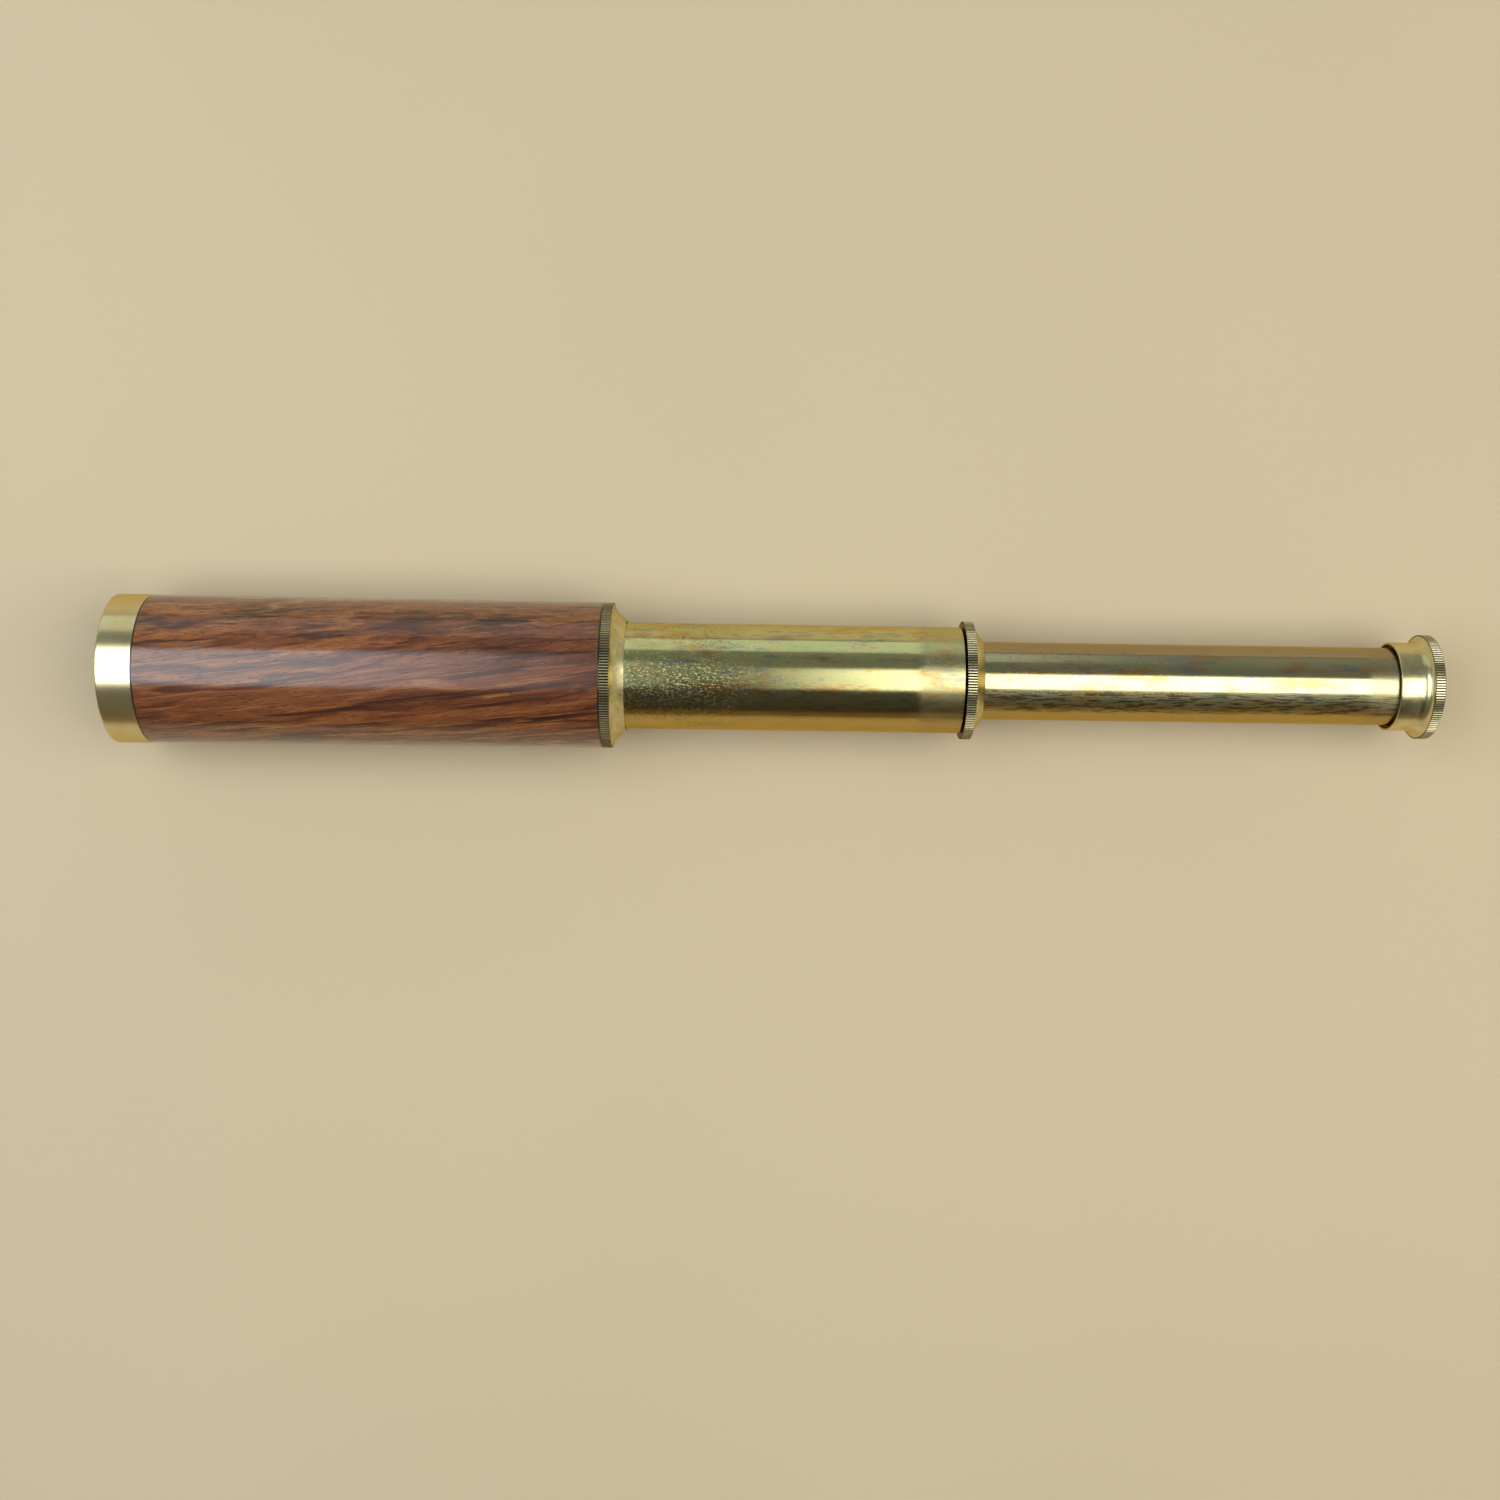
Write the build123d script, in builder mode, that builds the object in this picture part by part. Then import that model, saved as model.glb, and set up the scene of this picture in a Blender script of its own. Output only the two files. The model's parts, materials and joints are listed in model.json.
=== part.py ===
from build123d import *
import math
import os

# A two-draw telescope of brass and turned wood, drawn out to its full length. Millimetres.
# X runs along the optical axis, from the objective rim at the origin to the eyecup, and Z is up.
# A station is a distance along X, and a radius is a distance from that axis.

# Fits
JOINED = 0.03  # radial gap between two pieces that are screwed or pressed together
SLIDING = 0.05  # radial gap where one piece slides or turns in another
STOP_GAP = 0.1  # what is left between a stop and what it meets

# Main barrel
BARREL_RADIUS = 20.2
WOOD_FRONT_RADIUS = 20.15
WOOD_REAR_RADIUS = 19.85
FERRULE_LENGTH = 9.4
WOOD_END = 131.4
WOOD_EDGE = 0.25
LINER_RADIUS = 17.5
LINER_WALL = 0.8
LINER_START = 7.0
LINER_OVERHANG = 1.6  # how far its thread stands out of the wood, inside the collar

# Objective
RECESS_RADIUS = 18.4
RECESS_DEPTH = 4.8
RIM_ROUND = 0.6
RIM_CHAMFER = 0.4
CELL_START = 5.6
CELL_SEAT = 13.6
CELL_SEAT_THICKNESS = 1.0
OBJECTIVE_RADIUS = 15.5
OBJECTIVE_CLEAR_RADIUS = 14.4
CROWN_FRONT = 8.0
CROWN_REAR = 10.7
CROWN_FRONT_BULGE = 0.87
CROWN_REAR_BULGE = 0.85
FLINT_FRONT = 11.1
FLINT_FRONT_HOLLOW = 0.9
FLINT_REAR_BULGE = 0.15
RETAINER_LENGTH = 1.8

# Barrel collar
COLLAR_KNURL_RADIUS = 19.7
COLLAR_KNURL_LENGTH = 2.5
COLLAR_LENGTH = 6.1
COVE_START_RADIUS = 18.9
COVE_END_RADIUS = 14.9
COVE_CORNER = 134.9  # the hollow slope behind the knurl bends round this station
COVE_CORNER_RADIUS = 17.1
COLLAR_CLEARANCE = 0.2  # round the first draw
SLEEVE_SEAT_DEPTH = 4.0
COLLAR_RIBS = 164

# First draw
DRAW_1_RADIUS = 14.4
DRAW_1_WALL = 0.6
DRAW_1_START = 109.6
DRAW_1_END = 228.2
DRAW_1_END_ROUND = 0.25
DRAW_1_COLLAR_START = 228.5
DRAW_1_COLLAR_KNURL_RADIUS = 16.05
DRAW_1_COLLAR_KNURL_LENGTH = 2.6
DRAW_1_COLLAR_LENGTH = 5.2
CONE_START_RADIUS = 14.6
CONE_END_RADIUS = 11.4
DRAW_1_COLLAR_CLEARANCE = 0.15  # round the second draw
SPIGOT_LENGTH = 6.3
INNER_SLEEVE_SEAT_DEPTH = 2.0
DRAW_1_COLLAR_RIBS = 138

# Second draw
DRAW_2_RADIUS = 10.55
DRAW_2_WALL = 0.6
DRAW_2_START = 218.05
DRAW_2_END = 350.5
ADAPTER_RADIUS = 11.38
ADAPTER_LENGTH = 3.0

# Stop rings on the front ends of the draws
STOP_LENGTH = 4.0
STOP_LIP = 0.55

# Guide sleeves
SLEEVE_WALL = 0.8
SLIT_WIDTH = 0.8
SLIT_COUNT = 4
BARREL_SLIT_LENGTH = 14.0
DRAW_1_SLIT_LENGTH = 6.0

# Erecting lens tube
ERECTOR_START = 219.0
ERECTOR_LENGTH = 52.0
ERECTOR_WALL = 0.7
ERECTOR_BORE_RADIUS = 8.6
ERECTOR_SEAT = 6.0
INNER_CLEAR_RADIUS = 8.0
ERECTOR_LENS_THICKNESS = 3.2
ERECTOR_LENS_BULGE = 0.6
RING_LENGTH = 1.6
RING_SLOT_WIDTH = 1.2

# Eyepiece
EYEPIECE_START = 318.0
EYEPIECE_END = 342.5
EYEPIECE_LIP = 1.2
EYEPIECE_LIP_RADIUS = 8.3
FIELD_LENS_THICKNESS = 3.4
FIELD_LENS_BULGE = 0.9
FLAT_SIDE_BULGE = 0.1  # what is left on the flatter side of a lens in the eyepiece
FIELD_STOP_START = 331.0
STOP_THICKNESS = 1.0
FIELD_STOP_RADIUS = 5.5
ERECTOR_STOP_RADIUS = 2.5
EYE_LENS_RADIUS = 7.5
EYE_LENS_CLEAR_RADIUS = 6.4
EYE_LENS_FRONT = 345.6
EYE_LENS_REAR = 349.5
EYE_LENS_BULGE = 0.8

# Eyecup
TOTAL_LENGTH = 355.6
EYECUP_START = 344.7
EYECUP_SLEEVE_RADIUS = 11.95
EYECUP_BORE_RADIUS = 11.45
EYECUP_RIM_RADIUS = 14.17
FLARE_START = 349.9
FLARE_CORNER = 352.4  # the hollow curve of the flare bends round this station
EYECUP_KNURL_START = 353.0
EYECUP_FLOOR = 350.9
EYECUP_BOSS_START = 343.6
EYECUP_BOSS_RADIUS = 9.4
EYE_LENS_SHOULDER = 349.6
EYE_HOLE_RADIUS = 4.6
DISH_RADIUS = 12.7
DISH_DEPTH = 3.0
DISH_SAG = 0.7
EYECUP_EDGE = 0.3
EYECUP_RIBS = 126

# Knurls
RIB_DEPTH = 0.25
RIB_CREST_SHARE = 0.3  # the flat top's share of a rib's pitch


def annulus(start, end, outer, inner):
    """Draws the half section of a plain ring."""
    with Locations(((start + end) / 2, (outer + inner) / 2)):
        Rectangle(end - start, outer - inner)


def outline(*points):
    """Draws a section with straight sides, with its corners where they are given."""
    Polygon(*points, align=None)


def lens_surface(rim, bulge, clear_radius):
    """Draws half a lens surface, from its vertex on the axis out to the flat rim, bulge away along X."""
    curve = (clear_radius**2 + bulge**2) / (2 * bulge)
    halfway = clear_radius / 2
    drop = curve - math.copysign(math.sqrt(curve**2 - halfway**2), curve)
    ThreePointArc((rim + bulge, 0), (rim + bulge - drop, halfway), (rim, clear_radius))


def knurl_outline(radius, ribs):
    """Draws the toothed cross-section of a straight knurl."""
    pitch = 2 * math.pi / ribs
    corners = []
    for rib in range(ribs):
        for share, corner_radius in (
            (-RIB_CREST_SHARE / 2, radius),
            (RIB_CREST_SHARE / 2, radius),
            (0.5, radius - RIB_DEPTH),
        ):
            angle = (rib + share) * pitch
            corners.append((corner_radius * math.cos(angle), corner_radius * math.sin(angle)))
    outline(*corners)


def save(piece, name):
    """Labels a finished piece and writes its STEP file."""
    piece.part.label = name
    export_step(piece.part, f"parts/{name}.step")


def save_lens(name, front, rear, front_bulge, rear_bulge, radius, clear_radius):
    """A round lens with flat rims. A bulge below zero is a hollow surface."""
    with BuildPart() as lens:
        with BuildSketch(Plane.XZ):
            with BuildLine():
                lens_surface(front, -front_bulge, clear_radius)
                lens_surface(rear, rear_bulge, clear_radius)
                Line((front - front_bulge, 0), (rear + rear_bulge, 0))
                Polyline((front, clear_radius), (front, radius), (rear, radius), (rear, clear_radius))
            make_face()
        revolve(axis=Axis.X)
    save(lens, name)


def save_ring(name, start, length, outer, inner):
    """A plain ring."""
    with BuildPart() as ring:
        with BuildSketch(Plane.XZ):
            annulus(start, start + length, outer, inner)
        revolve(axis=Axis.X)
    save(ring, name)


def save_threaded_ring(name, start, length, outer, inner, slot_face):
    """A ring with two slots for a pin spanner, cut in the face at one of its two ends."""
    slot_depth = length / 2
    with BuildPart() as ring:
        with BuildSketch(Plane.XZ):
            annulus(start, start + length, outer, inner)
        revolve(axis=Axis.X)
        slot_start = start if slot_face == "front" else start + length - slot_depth
        with BuildSketch(Plane.YZ.offset(slot_start)):
            Rectangle(2 * outer + 1, RING_SLOT_WIDTH)
        extrude(amount=slot_depth, mode=Mode.SUBTRACT)
    save(ring, name)


def save_guide_sleeve(name, start, end, bore, wall, slit_length):
    """A sleeve that grips a draw: its front end is slit into springy fingers."""
    with BuildPart() as sleeve:
        with BuildSketch(Plane.XZ):
            annulus(start, end, bore + wall, bore)
        revolve(axis=Axis.X)
        with BuildSketch(Plane.YZ.offset(start)):
            with PolarLocations(bore + wall / 2, SLIT_COUNT):
                Rectangle(2 * wall, SLIT_WIDTH)
        extrude(amount=slit_length, mode=Mode.SUBTRACT)
    save(sleeve, name)


def save_stop_ring(name, tube_start, tube_radius, tube_wall, outer):
    """A ring round the front end of a draw, with a lip over the tube's end."""
    start = tube_start - STOP_LIP - SLIDING
    lip_end = start + STOP_LIP
    end = start + STOP_LENGTH
    bore = tube_radius + SLIDING
    lip_radius = tube_radius - tube_wall
    with BuildPart() as ring:
        with BuildSketch(Plane.XZ):
            outline(
                (start, lip_radius),
                (start, outer),
                (end, outer),
                (end, bore),
                (lip_end, bore),
                (lip_end, lip_radius),
            )
        revolve(axis=Axis.X)
    save(ring, name)
    return end


os.makedirs("parts", exist_ok=True)

# Main barrel

liner_bore = LINER_RADIUS - LINER_WALL
liner_end = WOOD_END + LINER_OVERHANG
thread_radius = LINER_RADIUS + JOINED
cell_radius = liner_bore - JOINED

with BuildPart() as objective_ferrule:
    with BuildSketch(Plane.XZ):
        outline(
            (0, RECESS_RADIUS),
            (0, BARREL_RADIUS),
            (FERRULE_LENGTH, BARREL_RADIUS),
            (FERRULE_LENGTH, thread_radius),
            (LINER_START - JOINED, thread_radius),
            (LINER_START - JOINED, liner_bore + SLIDING),
            (RECESS_DEPTH, liner_bore + SLIDING),
            (RECESS_DEPTH, RECESS_RADIUS),
        )
    revolve(axis=Axis.X)
    rim_edges = objective_ferrule.edges().filter_by(GeomType.CIRCLE).group_by(Axis.X)[0]
    fillet(rim_edges.sort_by(SortBy.RADIUS)[-1], RIM_ROUND)
    recess_edge = objective_ferrule.edges().filter_by(GeomType.CIRCLE).group_by(Axis.X)[0]
    chamfer(recess_edge.sort_by(SortBy.RADIUS)[0], RIM_CHAMFER)
save(objective_ferrule, "objective_ferrule")

with BuildPart() as wood_barrel:
    with BuildSketch(Plane.XZ):
        outline(
            (FERRULE_LENGTH, thread_radius),
            (FERRULE_LENGTH, WOOD_FRONT_RADIUS - WOOD_EDGE),
            (FERRULE_LENGTH + WOOD_EDGE, WOOD_FRONT_RADIUS),
            (WOOD_END - WOOD_EDGE, WOOD_REAR_RADIUS),
            (WOOD_END, WOOD_REAR_RADIUS - WOOD_EDGE),
            (WOOD_END, thread_radius),
        )
    revolve(axis=Axis.X)
save(wood_barrel, "wood_barrel")

save_ring("barrel_liner_tube", LINER_START, liner_end - LINER_START, LINER_RADIUS, liner_bore)

# Objective lenses in their cell

with BuildPart() as objective_cell:
    with BuildSketch(Plane.XZ):
        outline(
            (CELL_START, OBJECTIVE_RADIUS + JOINED),
            (CELL_START, cell_radius),
            (CELL_SEAT + CELL_SEAT_THICKNESS, cell_radius),
            (CELL_SEAT + CELL_SEAT_THICKNESS, OBJECTIVE_CLEAR_RADIUS),
            (CELL_SEAT, OBJECTIVE_CLEAR_RADIUS),
            (CELL_SEAT, OBJECTIVE_RADIUS + JOINED),
        )
    revolve(axis=Axis.X)
save(objective_cell, "objective_cell")

save_lens(
    "objective_crown_lens",
    front=CROWN_FRONT,
    rear=CROWN_REAR,
    front_bulge=CROWN_FRONT_BULGE,
    rear_bulge=CROWN_REAR_BULGE,
    radius=OBJECTIVE_RADIUS,
    clear_radius=OBJECTIVE_CLEAR_RADIUS,
)
save_ring(
    "objective_spacer_ring",
    CROWN_REAR,
    FLINT_FRONT - CROWN_REAR,
    OBJECTIVE_RADIUS,
    OBJECTIVE_CLEAR_RADIUS,
)
save_lens(
    "objective_flint_lens",
    front=FLINT_FRONT,
    rear=CELL_SEAT,
    front_bulge=-FLINT_FRONT_HOLLOW,
    rear_bulge=FLINT_REAR_BULGE,
    radius=OBJECTIVE_RADIUS,
    clear_radius=OBJECTIVE_CLEAR_RADIUS,
)
save_threaded_ring(
    "objective_retaining_ring",
    CROWN_FRONT - RETAINER_LENGTH,
    RETAINER_LENGTH,
    OBJECTIVE_RADIUS,
    OBJECTIVE_CLEAR_RADIUS,
    slot_face="front",
)

# Barrel collar and the sleeve in it

draw_1_bore = DRAW_1_RADIUS + SLIDING
collar_knurl_end = WOOD_END + COLLAR_KNURL_LENGTH
collar_end = WOOD_END + COLLAR_LENGTH
sleeve_seat_end = WOOD_END + SLEEVE_SEAT_DEPTH
sleeve_radius = draw_1_bore + SLEEVE_WALL
collar_bore = DRAW_1_RADIUS + COLLAR_CLEARANCE

with BuildPart() as barrel_collar:
    with BuildSketch(Plane.XZ):
        with BuildLine():
            Polyline(
                (collar_end, COVE_END_RADIUS),
                (collar_end, collar_bore),
                (sleeve_seat_end, collar_bore),
                (sleeve_seat_end, sleeve_radius + JOINED),
                (liner_end + JOINED, sleeve_radius + JOINED),
                (liner_end + JOINED, thread_radius),
                (WOOD_END, thread_radius),
                (WOOD_END, COLLAR_KNURL_RADIUS - RIB_DEPTH),
                (collar_knurl_end, COLLAR_KNURL_RADIUS - RIB_DEPTH),
                (collar_knurl_end, COVE_START_RADIUS),
            )
            Bezier(
                (collar_knurl_end, COVE_START_RADIUS),
                (COVE_CORNER, COVE_CORNER_RADIUS),
                (collar_end, COVE_END_RADIUS),
            )
        make_face()
    revolve(axis=Axis.X)
    with BuildSketch(Plane.YZ.offset(WOOD_END)):
        knurl_outline(COLLAR_KNURL_RADIUS, COLLAR_RIBS)
        Circle(thread_radius, mode=Mode.SUBTRACT)
    extrude(amount=COLLAR_KNURL_LENGTH)
save(barrel_collar, "barrel_collar")

# First draw

stop_1_end = save_stop_ring(
    "draw_1_stop_ring", DRAW_1_START, DRAW_1_RADIUS, DRAW_1_WALL, liner_bore - SLIDING
)
save_guide_sleeve(
    "barrel_guide_sleeve",
    stop_1_end + STOP_GAP,
    sleeve_seat_end - JOINED,
    draw_1_bore,
    SLEEVE_WALL,
    slit_length=BARREL_SLIT_LENGTH,
)

with BuildPart() as draw_1_tube:
    with BuildSketch(Plane.XZ):
        annulus(DRAW_1_START, DRAW_1_END, DRAW_1_RADIUS, DRAW_1_RADIUS - DRAW_1_WALL)
    revolve(axis=Axis.X)
    tube_ends = draw_1_tube.edges().filter_by(GeomType.CIRCLE).group_by(Axis.X)
    fillet(tube_ends[-1].sort_by(SortBy.RADIUS)[-1], DRAW_1_END_ROUND)
save(draw_1_tube, "draw_1_tube")

draw_2_bore = DRAW_2_RADIUS + SLIDING
inner_sleeve_radius = draw_2_bore + SLEEVE_WALL
knurl_1_end = DRAW_1_COLLAR_START + DRAW_1_COLLAR_KNURL_LENGTH
collar_1_end = DRAW_1_COLLAR_START + DRAW_1_COLLAR_LENGTH
spigot_start = DRAW_1_COLLAR_START - SPIGOT_LENGTH
spigot_radius = DRAW_1_RADIUS - DRAW_1_WALL - JOINED
inner_sleeve_seat = DRAW_1_COLLAR_START + INNER_SLEEVE_SEAT_DEPTH
collar_1_bore = DRAW_2_RADIUS + DRAW_1_COLLAR_CLEARANCE

with BuildPart() as draw_1_collar:
    with BuildSketch(Plane.XZ):
        outline(
            (spigot_start, inner_sleeve_radius + JOINED),
            (spigot_start, spigot_radius),
            (DRAW_1_COLLAR_START, spigot_radius),
            (DRAW_1_COLLAR_START, DRAW_1_COLLAR_KNURL_RADIUS - RIB_DEPTH),
            (knurl_1_end, DRAW_1_COLLAR_KNURL_RADIUS - RIB_DEPTH),
            (knurl_1_end, CONE_START_RADIUS),
            (collar_1_end, CONE_END_RADIUS),
            (collar_1_end, collar_1_bore),
            (inner_sleeve_seat, collar_1_bore),
            (inner_sleeve_seat, inner_sleeve_radius + JOINED),
        )
    revolve(axis=Axis.X)
    with BuildSketch(Plane.YZ.offset(DRAW_1_COLLAR_START)):
        knurl_outline(DRAW_1_COLLAR_KNURL_RADIUS, DRAW_1_COLLAR_RIBS)
        Circle(spigot_radius, mode=Mode.SUBTRACT)
    extrude(amount=DRAW_1_COLLAR_KNURL_LENGTH)
save(draw_1_collar, "draw_1_collar")

# Second draw

draw_2_inside = DRAW_2_RADIUS - DRAW_2_WALL
stop_2_end = save_stop_ring(
    "draw_2_stop_ring",
    DRAW_2_START,
    DRAW_2_RADIUS,
    DRAW_2_WALL,
    DRAW_1_RADIUS - DRAW_1_WALL - SLIDING,
)
save_guide_sleeve(
    "draw_1_guide_sleeve",
    stop_2_end + STOP_GAP,
    inner_sleeve_seat - JOINED,
    draw_2_bore,
    SLEEVE_WALL,
    slit_length=DRAW_1_SLIT_LENGTH,
)
save_ring("draw_2_tube", DRAW_2_START, DRAW_2_END - DRAW_2_START, DRAW_2_RADIUS, draw_2_inside)
save_ring(
    "eyecup_adapter",
    DRAW_2_END - ADAPTER_LENGTH,
    ADAPTER_LENGTH,
    ADAPTER_RADIUS,
    DRAW_2_RADIUS + JOINED,
)

# Erecting lenses, which turn the picture the right way up

erector_radius = draw_2_inside - JOINED
erector_seat_radius = erector_radius - ERECTOR_WALL
inner_lens_radius = erector_seat_radius - JOINED
erector_end = ERECTOR_START + ERECTOR_LENGTH
front_seat = ERECTOR_START + ERECTOR_SEAT
rear_seat = erector_end - ERECTOR_SEAT

with BuildPart() as erector_tube:
    with BuildSketch(Plane.XZ):
        outline(
            (ERECTOR_START, erector_seat_radius),
            (ERECTOR_START, erector_radius),
            (erector_end, erector_radius),
            (erector_end, erector_seat_radius),
            (rear_seat, erector_seat_radius),
            (rear_seat, ERECTOR_BORE_RADIUS),
            (front_seat, ERECTOR_BORE_RADIUS),
            (front_seat, erector_seat_radius),
        )
    revolve(axis=Axis.X)
save(erector_tube, "erector_tube")

erector_middle = (front_seat + rear_seat) / 2
save_ring(
    "erector_stop",
    erector_middle - STOP_THICKNESS / 2,
    STOP_THICKNESS,
    ERECTOR_BORE_RADIUS - JOINED,
    ERECTOR_STOP_RADIUS,
)

for place, lens_front, ring_start in (
    ("front", front_seat - ERECTOR_LENS_THICKNESS, front_seat - ERECTOR_LENS_THICKNESS - RING_LENGTH),
    ("rear", rear_seat, rear_seat + ERECTOR_LENS_THICKNESS),
):
    save_lens(
        f"erector_{place}_lens",
        front=lens_front,
        rear=lens_front + ERECTOR_LENS_THICKNESS,
        front_bulge=ERECTOR_LENS_BULGE,
        rear_bulge=ERECTOR_LENS_BULGE,
        radius=inner_lens_radius,
        clear_radius=INNER_CLEAR_RADIUS,
    )
    save_threaded_ring(
        f"erector_{place}_ring",
        ring_start,
        RING_LENGTH,
        inner_lens_radius,
        INNER_CLEAR_RADIUS,
        slot_face=place,
    )

# Eyepiece tube with the field lens

field_lens_front = EYEPIECE_START + EYEPIECE_LIP
field_lens_rear = field_lens_front + FIELD_LENS_THICKNESS

with BuildPart() as eyepiece_tube:
    with BuildSketch(Plane.XZ):
        outline(
            (EYEPIECE_START, EYEPIECE_LIP_RADIUS),
            (EYEPIECE_START, erector_radius),
            (EYEPIECE_END, erector_radius),
            (EYEPIECE_END, erector_seat_radius),
            (field_lens_front, erector_seat_radius),
            (field_lens_front, EYEPIECE_LIP_RADIUS),
        )
    revolve(axis=Axis.X)
save(eyepiece_tube, "eyepiece_tube")

save_lens(
    "field_lens",
    front=field_lens_front,
    rear=field_lens_rear,
    front_bulge=FIELD_LENS_BULGE,
    rear_bulge=FLAT_SIDE_BULGE,
    radius=inner_lens_radius,
    clear_radius=INNER_CLEAR_RADIUS,
)
save_threaded_ring(
    "field_lens_ring",
    field_lens_rear,
    RING_LENGTH,
    inner_lens_radius,
    INNER_CLEAR_RADIUS,
    slot_face="rear",
)
save_ring("field_stop", FIELD_STOP_START, STOP_THICKNESS, inner_lens_radius, FIELD_STOP_RADIUS)

# Eye lens and eyecup

save_lens(
    "eye_lens",
    front=EYE_LENS_FRONT,
    rear=EYE_LENS_REAR,
    front_bulge=EYE_LENS_BULGE,
    rear_bulge=FLAT_SIDE_BULGE,
    radius=EYE_LENS_RADIUS,
    clear_radius=EYE_LENS_CLEAR_RADIUS,
)
save_threaded_ring(
    "eye_lens_ring",
    EYE_LENS_FRONT - RING_LENGTH,
    RING_LENGTH,
    EYE_LENS_RADIUS,
    EYE_LENS_CLEAR_RADIUS,
    slot_face="front",
)

rim_root_radius = EYECUP_RIM_RADIUS - RIB_DEPTH
dish_bottom = TOTAL_LENGTH - DISH_DEPTH

with BuildPart() as eyecup:
    with BuildSketch(Plane.XZ):
        with BuildLine():
            Polyline(
                (EYECUP_KNURL_START, rim_root_radius),
                (TOTAL_LENGTH, rim_root_radius),
                (TOTAL_LENGTH, DISH_RADIUS),
            )
            SagittaArc((TOTAL_LENGTH, DISH_RADIUS), (dish_bottom, EYE_HOLE_RADIUS), -DISH_SAG)
            Polyline(
                (dish_bottom, EYE_HOLE_RADIUS),
                (EYE_LENS_SHOULDER, EYE_HOLE_RADIUS),
                (EYE_LENS_SHOULDER, EYE_LENS_RADIUS + SLIDING),
                (EYECUP_BOSS_START, EYE_LENS_RADIUS + SLIDING),
                (EYECUP_BOSS_START, EYECUP_BOSS_RADIUS),
                (EYECUP_FLOOR, EYECUP_BOSS_RADIUS),
                (EYECUP_FLOOR, EYECUP_BORE_RADIUS),
                (EYECUP_START, EYECUP_BORE_RADIUS),
                (EYECUP_START, EYECUP_SLEEVE_RADIUS),
                (FLARE_START, EYECUP_SLEEVE_RADIUS),
            )
            Bezier(
                (FLARE_START, EYECUP_SLEEVE_RADIUS),
                (FLARE_CORNER, EYECUP_SLEEVE_RADIUS),
                (EYECUP_KNURL_START, rim_root_radius),
            )
        make_face()
    revolve(axis=Axis.X)
    with BuildSketch(Plane.YZ.offset(EYECUP_KNURL_START)):
        knurl_outline(EYECUP_RIM_RADIUS, EYECUP_RIBS)
        Circle(rim_root_radius - EYECUP_EDGE, mode=Mode.SUBTRACT)
    extrude(amount=TOTAL_LENGTH - EYECUP_EDGE - EYECUP_KNURL_START)
save(eyecup, "eyecup")
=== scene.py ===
import json
import math

import bmesh
import bpy
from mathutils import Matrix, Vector

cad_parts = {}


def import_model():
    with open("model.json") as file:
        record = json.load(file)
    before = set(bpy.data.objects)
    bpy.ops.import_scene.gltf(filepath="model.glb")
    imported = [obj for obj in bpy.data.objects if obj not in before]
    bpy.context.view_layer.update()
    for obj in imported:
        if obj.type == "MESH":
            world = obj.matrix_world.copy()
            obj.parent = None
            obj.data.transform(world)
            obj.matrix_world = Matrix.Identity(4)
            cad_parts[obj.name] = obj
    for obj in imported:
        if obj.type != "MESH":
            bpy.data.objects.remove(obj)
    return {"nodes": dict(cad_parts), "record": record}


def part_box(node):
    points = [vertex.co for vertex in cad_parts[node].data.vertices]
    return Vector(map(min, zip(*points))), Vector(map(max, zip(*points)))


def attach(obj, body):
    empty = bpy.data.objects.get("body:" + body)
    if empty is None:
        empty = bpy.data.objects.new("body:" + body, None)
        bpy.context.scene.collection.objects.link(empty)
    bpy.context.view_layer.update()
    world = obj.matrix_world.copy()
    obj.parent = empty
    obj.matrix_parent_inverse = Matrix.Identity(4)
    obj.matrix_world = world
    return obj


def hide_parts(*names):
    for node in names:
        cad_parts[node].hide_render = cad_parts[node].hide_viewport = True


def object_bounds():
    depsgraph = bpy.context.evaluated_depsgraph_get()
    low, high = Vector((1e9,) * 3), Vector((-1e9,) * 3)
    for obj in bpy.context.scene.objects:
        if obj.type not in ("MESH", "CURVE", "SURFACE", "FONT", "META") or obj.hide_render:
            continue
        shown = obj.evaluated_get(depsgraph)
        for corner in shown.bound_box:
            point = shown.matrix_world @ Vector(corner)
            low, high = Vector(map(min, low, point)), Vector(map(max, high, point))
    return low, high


# A brass and rosewood telescope with two draws, lying drawn out on a pale floor.
# X runs along the optical axis, from the objective rim at the origin to the eyecup, and Z is up.
# A station is a distance along X and a radius is a distance from that axis, both in millimetres.

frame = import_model()
cad_low, cad_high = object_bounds()

MM = 0.001
TURN = 2 * math.pi


# ---------------------------------------------------------------- camera

# It is right above the telescope, near its middle, and held a little askew.
camera_data = bpy.data.cameras.new("camera")
camera_data.lens = 41.58
camera_data.sensor_width = 36
camera_data.clip_start = 0.01
camera = bpy.data.objects.new("camera", camera_data)
camera.location = (0.16845, 0.0, 0.4725)
camera.rotation_euler = (-0.042, -0.0055, 0.0145)
bpy.context.scene.collection.objects.link(camera)
bpy.context.scene.camera = camera
bpy.context.scene.view_settings.view_transform = "Standard"


# ---------------------------------------------------------------- turning sections into meshes

SEGMENTS = 384  # round a plain turned piece
RIB_SAMPLES = 6  # round one knurl rib
RIB_DEPTH = 0.25
RIB_ROOT_DEPTH = RIB_DEPTH + 0.05  # where the flanks of a knurled flange begin, below its crest
RIB_CREST_SHARE = 1 / 3
RIB_UNEVENNESS = 0.12
SHARP_ANGLE = math.radians(32)


def ends(node):
    """The stations at which a CAD node starts and ends."""
    low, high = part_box(node)
    return low.x / MM, high.x / MM


def outside(node):
    """The largest radius of a CAD node."""
    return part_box(node)[1].z / MM


def between(a, b, share):
    """The point a share of the way from a to b."""
    return tuple(start + (end - start) * share for start, end in zip(a, b))


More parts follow.
